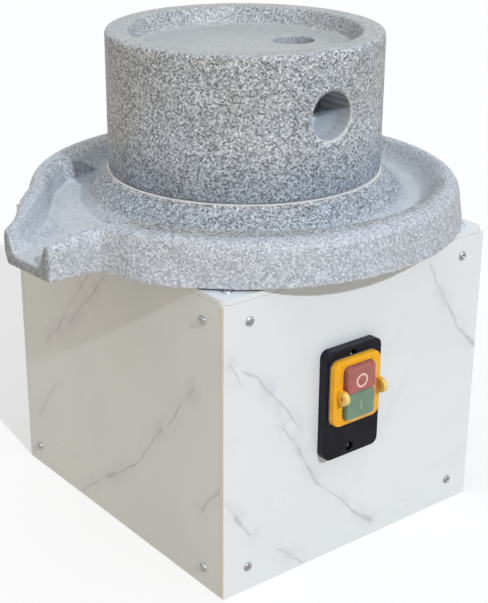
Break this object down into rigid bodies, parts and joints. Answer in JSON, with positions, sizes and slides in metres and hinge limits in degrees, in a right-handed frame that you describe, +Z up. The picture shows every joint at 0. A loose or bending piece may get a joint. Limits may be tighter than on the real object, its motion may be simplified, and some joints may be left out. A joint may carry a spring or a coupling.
{
  "type": "electric stone mill",
  "caption": "Electric granite stone mill: dished runner stone turning on a troughed bedstone with a pouring spout, over a square board cabinet with gear motor and switch.",
  "frame": {"origin": "on the mill's axis, on the underside of the cabinet's base plate", "axes": "+Z up along the spindle; -Y towards the switch; the spout points to -X"},
  "size_m": [0.4467, 0.404, 0.4516],
  "materials": {
    "marble_board": "pale board with a printed marble film, satin gloss",
    "granite": "honed speckled grey granite",
    "frame_steel": "dark primer",
    "steel": "turned steel",
    "zinc": "bright zinc",
    "cast_alloy": "cast alloy, plain",
    "motor_paint": "black paint",
    "rubber": "black rubber",
    "nylon": "natural nylon",
    "black_plastic": "black, fine satin",
    "yellow_plastic": "yellow, glossy",
    "clear_boot": "hazy clear soft plastic",
    "red_plastic": "red",
    "green_plastic": "green",
    "grey_plastic": "light grey"
  },
  "bodies": {
    "base": {"front_panel": "marble_board", "back_panel": "marble_board", "left_panel": "marble_board", "right_panel": "marble_board", "lid_panel": "marble_board", "lower_stone": "granite", "base_plate": "frame_steel", "post_front_left": "frame_steel", "post_front_right": "frame_steel", "post_back_left": "frame_steel", "post_back_right": "frame_steel", "deck_plate": "frame_steel", "motor_plate": "frame_steel", "spindle_bearing": "steel", "locating_pin_1": "zinc", "locating_pin_2": "zinc", "switch_screw_top": "zinc", "switch_screw_bottom": "zinc", "capacitor_clip": "zinc", "gearhead": "cast_alloy", "bearing_housing": "cast_alloy", "capacitor": "cast_alloy", "motor_body": "motor_paint", "stone_pad_1": "rubber", "stone_pad_2": "rubber", "stone_pad_3": "rubber", "stone_pad_4": "rubber", "eye_bush": "nylon", "switch_plate": "black_plastic", "switch_module": "black_plastic", "fan_cowl": "black_plastic", "cable_gland": "black_plastic", "gland_nut": "black_plastic", "switch_bezel": "yellow_plastic", "switch_boot": "clear_boot", "terminal_block": "grey_plastic", "switch_cable": "grey_plastic", "motor_cable": "grey_plastic"},
    "spindle": {"output_shaft": "steel", "coupling_lower": "cast_alloy", "coupling_spider": "rubber", "coupling_upper": "cast_alloy", "spindle": "steel", "drive_bar": "steel", "drive_nut": "zinc"},
    "runner": {"runner_stone": "granite"},
    "stop_button": {"stop_button": "red_plastic"},
    "start_button": {"start_button": "green_plastic"}
  },
  "joints": [
    {"name": "mill_spin", "type": "hinge", "parent": "base", "child": "spindle", "pos_m": [0, 0, 0.3], "axis": [0, 0, 1], "continuous": true},
    {"name": "runner_lift", "type": "slide", "parent": "spindle", "child": "runner", "axis": [0, 0, 1], "range_m": [0, 0.16]},
    {"name": "stop_press", "type": "slide", "parent": "base", "child": "stop_button", "axis": [0, 1, 0], "range_m": [0, 0.003], "stiffness_N_per_m": 400, "springref_m": -0.004},
    {"name": "start_press", "type": "slide", "parent": "base", "child": "start_button", "axis": [0, 1, 0], "range_m": [0, 0.003], "stiffness_N_per_m": 400, "springref_m": -0.004}
  ]
}
